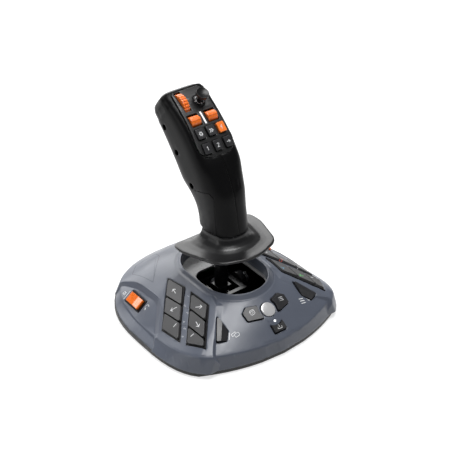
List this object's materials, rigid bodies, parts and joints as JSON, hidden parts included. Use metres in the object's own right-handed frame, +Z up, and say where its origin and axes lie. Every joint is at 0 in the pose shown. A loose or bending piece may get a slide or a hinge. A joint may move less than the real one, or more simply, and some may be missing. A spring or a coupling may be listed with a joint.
{
  "type": "desktop joystick",
  "caption": "Free-standing joystick: a sculpted slate base with key pads and rockers, a tilting and twisting pistol-style grip, thumb stick, scroll wheel, rollers and push buttons.",
  "frame": {"origin": "on the table under the stick axis, at the middle of the base's footprint", "axes": "+X to the user's right, -Y toward the user, +Z up along the stick"},
  "size_m": [0.1944, 0.19, 0.213],
  "materials": {
    "casing": "satin slate grey",
    "cover": "matte black",
    "rubber": "matte",
    "screws": "dark oxide",
    "tray": "matte black",
    "gate": "satin",
    "gimbal": "moulded black",
    "board": "solder mask",
    "socket": "bright",
    "light": "diffuse white",
    "keys": "satin dark grey",
    "dark_buttons": "satin black",
    "silver": "bright silver",
    "orange": "satin orange",
    "shaft": "black",
    "steel": "bright",
    "hand_rest": "satin dark grey",
    "grip": "fine-textured black",
    "insert": "soft-touch black",
    "plate": "satin black",
    "thumb": "black"
  },
  "bodies": {
    "base": {"base_shell": "casing", "bottom_cover": "cover", "rubber_feet": "rubber", "case_screws": "screws", "key_tray_left": "tray", "key_tray_right": "tray", "gate_plate": "gate", "gimbal_mount": "gimbal", "main_board": "board", "sensor_board": "board", "front_board": "board", "cable_inlet": "socket", "status_light": "light", "rocker_frame_left": "tray", "rocker_frame_right": "tray", "pitch_spring": "steel"},
    "gimbal_ring": {"gimbal_ring": "gimbal", "roll_spring": "steel"},
    "shaft": {"stick_shaft": "shaft", "magnet": "steel"},
    "grip": {"hand_rest": "hand_rest", "grip_left": "grip", "grip_right": "grip", "palm_insert": "insert", "face_plate": "plate", "grip_screws": "screws", "thumb_base": "thumb", "light_bar": "light", "head_board": "board"},
    "key_l1": {"key_l1": "keys"},
    "key_l2": {"key_l2": "keys"},
    "key_l3": {"key_l3": "keys"},
    "key_l4": {"key_l4": "keys"},
    "key_l5": {"key_l5": "keys"},
    "key_l6": {"key_l6": "keys"},
    "key_r1": {"key_r1": "keys"},
    "key_r2": {"key_r2": "keys"},
    "key_r3": {"key_r3": "keys"},
    "key_r4": {"key_r4": "keys"},
    "key_r5": {"key_r5": "keys"},
    "key_r6": {"key_r6": "keys"},
    "home_button": {"home_button": "silver"},
    "page_button_left": {"page_button_left": "dark_buttons"},
    "page_button_right": {"page_button_right": "dark_buttons"},
    "lower_button": {"lower_button": "dark_buttons"},
    "wedge_button_left": {"wedge_button_left": "dark_buttons"},
    "wedge_button_right": {"wedge_button_right": "dark_buttons"},
    "rocker_left": {"rocker_left": "orange"},
    "rocker_right": {"rocker_right": "orange"},
    "scroll_wheel": {"scroll_wheel": "orange"},
    "thumb_ring": {"thumb_ring": "gimbal"},
    "thumb_stick": {"thumb_stick": "thumb"},
    "roller_left": {"roller_left": "orange"},
    "roller_right": {"roller_right": "orange"},
    "head_button_1": {"head_button_1": "dark_buttons"},
    "head_button_2": {"head_button_2": "dark_buttons"},
    "head_button_3": {"head_button_3": "orange"},
    "head_button_4": {"head_button_4": "dark_buttons"},
    "head_button_5": {"head_button_5": "dark_buttons"},
    "head_button_6": {"head_button_6": "dark_buttons"}
  },
  "joints": [
    {"name": "stick_pitch", "type": "hinge", "parent": "base", "child": "gimbal_ring", "pos_m": [0, 0, 0.0195], "axis": [1, 0, 0], "range_deg": [-18, 18], "stiffness_Nm_per_rad": 3, "deforming": ["pitch_spring"]},
    {"name": "stick_roll", "type": "hinge", "parent": "gimbal_ring", "child": "shaft", "pos_m": [0, 0, 0.0195], "axis": [0, 1, 0], "range_deg": [-18, 18], "stiffness_Nm_per_rad": 3, "deforming": ["roll_spring"]},
    {"name": "grip_twist", "type": "hinge", "parent": "shaft", "child": "grip", "pos_m": [0, 0, 0.1], "axis": [0, 0, 1], "range_deg": [-15, 15], "stiffness_Nm_per_rad": 1},
    {"name": "scroll_wheel_turn", "type": "hinge", "parent": "grip", "child": "scroll_wheel", "pos_m": [-0.0095, 0.04657, 0.19594], "axis": [1, 0, 0], "continuous": true},
    {"name": "thumb_fore_aft", "type": "hinge", "parent": "grip", "child": "thumb_ring", "pos_m": [0.006, 0.04276, 0.19487], "axis": [1, 0, 0], "range_deg": [-18, 18], "stiffness_Nm_per_rad": 0.03},
    {"name": "thumb_side", "type": "hinge", "parent": "thumb_ring", "child": "thumb_stick", "pos_m": [0.006, 0.04276, 0.19487], "axis": [0, 0.8574, 0.5146], "range_deg": [-18, 18], "stiffness_Nm_per_rad": 0.03},
    {"name": "roller_left_turn", "type": "hinge", "parent": "grip", "child": "roller_left", "pos_m": [-0.009, 0.02772, 0.18805], "axis": [1, 0, 0], "range_deg": [-25, 25], "stiffness_Nm_per_rad": 0.02},
    {"name": "roller_right_turn", "type": "hinge", "parent": "grip", "child": "roller_right", "pos_m": [0.009, 0.02772, 0.18805], "axis": [1, 0, 0], "range_deg": [-25, 25], "stiffness_Nm_per_rad": 0.02},
    {"name": "head_button_1_press", "type": "slide", "parent": "grip", "child": "head_button_1", "axis": [0, 0.6768, -0.7361], "range_m": [0, 0.0009], "stiffness_N_per_m": 1500},
    {"name": "head_button_2_press", "type": "slide", "parent": "grip", "child": "head_button_2", "axis": [0, 0.6768, -0.7361], "range_m": [0, 0.0009], "stiffness_N_per_m": 1500},
    {"name": "head_button_3_press", "type": "slide", "parent": "grip", "child": "head_button_3", "axis": [0, 0.6768, -0.7361], "range_m": [0, 0.0009], "stiffness_N_per_m": 1500},
    {"name": "head_button_4_press", "type": "slide", "parent": "grip", "child": "head_button_4", "axis": [0, 0.7426, -0.6697], "range_m": [0, 0.0009], "stiffness_N_per_m": 1500},
    {"name": "head_button_5_press", "type": "slide", "parent": "grip", "child": "head_button_5", "axis": [0, 0.7426, -0.6697], "range_m": [0, 0.0009], "stiffness_N_per_m": 1500},
    {"name": "head_button_6_press", "type": "slide", "parent": "grip", "child": "head_button_6", "axis": [0, 0.7426, -0.6697], "range_m": [0, 0.0009], "stiffness_N_per_m": 1500},
    {"name": "key_l1_press", "type": "slide", "parent": "base", "child": "key_l1", "axis": [0.4434, -0.0103, -0.8962], "range_m": [0, 0.0012], "stiffness_N_per_m": 1200},
    {"name": "key_l2_press", "type": "slide", "parent": "base", "child": "key_l2", "axis": [0.5449, -0.0167, -0.8383], "range_m": [0, 0.0012], "stiffness_N_per_m": 1200},
    {"name": "key_l3_press", "type": "slide", "parent": "base", "child": "key_l3", "axis": [0.5948, -0.016, -0.8037], "range_m": [0, 0.0012], "stiffness_N_per_m": 1200},
    {"name": "key_l4_press", "type": "slide", "parent": "base", "child": "key_l4", "axis": [0.3991, 0.0626, -0.9148], "range_m": [0, 0.0012], "stiffness_N_per_m": 1200},
    {"name": "key_l5_press", "type": "slide", "parent": "base", "child": "key_l5", "axis": [0.4157, 0.0781, -0.9061], "range_m": [0, 0.0012], "stiffness_N_per_m": 1200},
    {"name": "key_l6_press", "type": "slide", "parent": "base", "child": "key_l6", "axis": [0.4431, 0.0835, -0.8926], "range_m": [0, 0.0012], "stiffness_N_per_m": 1200},
    {"name": "key_r1_press", "type": "slide", "parent": "base", "child": "key_r1", "axis": [-0.4434, -0.0103, -0.8962], "range_m": [0, 0.0012], "stiffness_N_per_m": 1200},
    {"name": "key_r2_press", "type": "slide", "parent": "base", "child": "key_r2", "axis": [-0.5449, -0.0167, -0.8383], "range_m": [0, 0.0012], "stiffness_N_per_m": 1200},
    {"name": "key_r3_press", "type": "slide", "parent": "base", "child": "key_r3", "axis": [-0.5948, -0.016, -0.8037], "range_m": [0, 0.0012], "stiffness_N_per_m": 1200},
    {"name": "key_r4_press", "type": "slide", "parent": "base", "child": "key_r4", "axis": [-0.3991, 0.0626, -0.9148], "range_m": [0, 0.0012], "stiffness_N_per_m": 1200},
    {"name": "key_r5_press", "type": "slide", "parent": "base", "child": "key_r5", "axis": [-0.4157, 0.0781, -0.9061], "range_m": [0, 0.0012], "stiffness_N_per_m": 1200},
    {"name": "key_r6_press", "type": "slide", "parent": "base", "child": "key_r6", "axis": [-0.4431, 0.0835, -0.8926], "range_m": [0, 0.0012], "stiffness_N_per_m": 1200},
    {"name": "home_press", "type": "slide", "parent": "base", "child": "home_button", "axis": [0, 0.5369, -0.8436], "range_m": [0, 0.001], "stiffness_N_per_m": 1200},
    {"name": "lower_press", "type": "slide", "parent": "base", "child": "lower_button", "axis": [0, 0.5369, -0.8436], "range_m": [0, 0.001], "stiffness_N_per_m": 1200},
    {"name": "page_button_left_press", "type": "slide", "parent": "base", "child": "page_button_left", "axis": [0.1447, 0.4597, -0.8762], "range_m": [0, 0.001], "stiffness_N_per_m": 1200},
    {"name": "page_button_right_press", "type": "slide", "parent": "base", "child": "page_button_right", "axis": [-0.1447, 0.4597, -0.8762], "range_m": [0, 0.001], "stiffness_N_per_m": 1200},
    {"name": "wedge_button_left_press", "type": "slide", "parent": "base", "child": "wedge_button_left", "axis": [0.2148, 0.3824, -0.8987], "range_m": [0, 0.001], "stiffness_N_per_m": 1200},
    {"name": "wedge_button_right_press", "type": "slide", "parent": "base", "child": "wedge_button_right", "axis": [-0.2148, 0.3824, -0.8987], "range_m": [0, 0.001], "stiffness_N_per_m": 1200},
    {"name": "rocker_right_tilt", "type": "hinge", "parent": "base", "child": "rocker_right", "pos_m": [0.07468, 0.03291, 0.01682], "axis": [0.7862, 0, -0.618], "range_deg": [-8, 8], "stiffness_Nm_per_rad": 0.05},
    {"name": "rocker_left_tilt", "type": "hinge", "parent": "base", "child": "rocker_left", "pos_m": [-0.07468, 0.03291, 0.01682], "axis": [0.7862, 0, 0.618], "range_deg": [-8, 8], "stiffness_Nm_per_rad": 0.05}
  ]
}
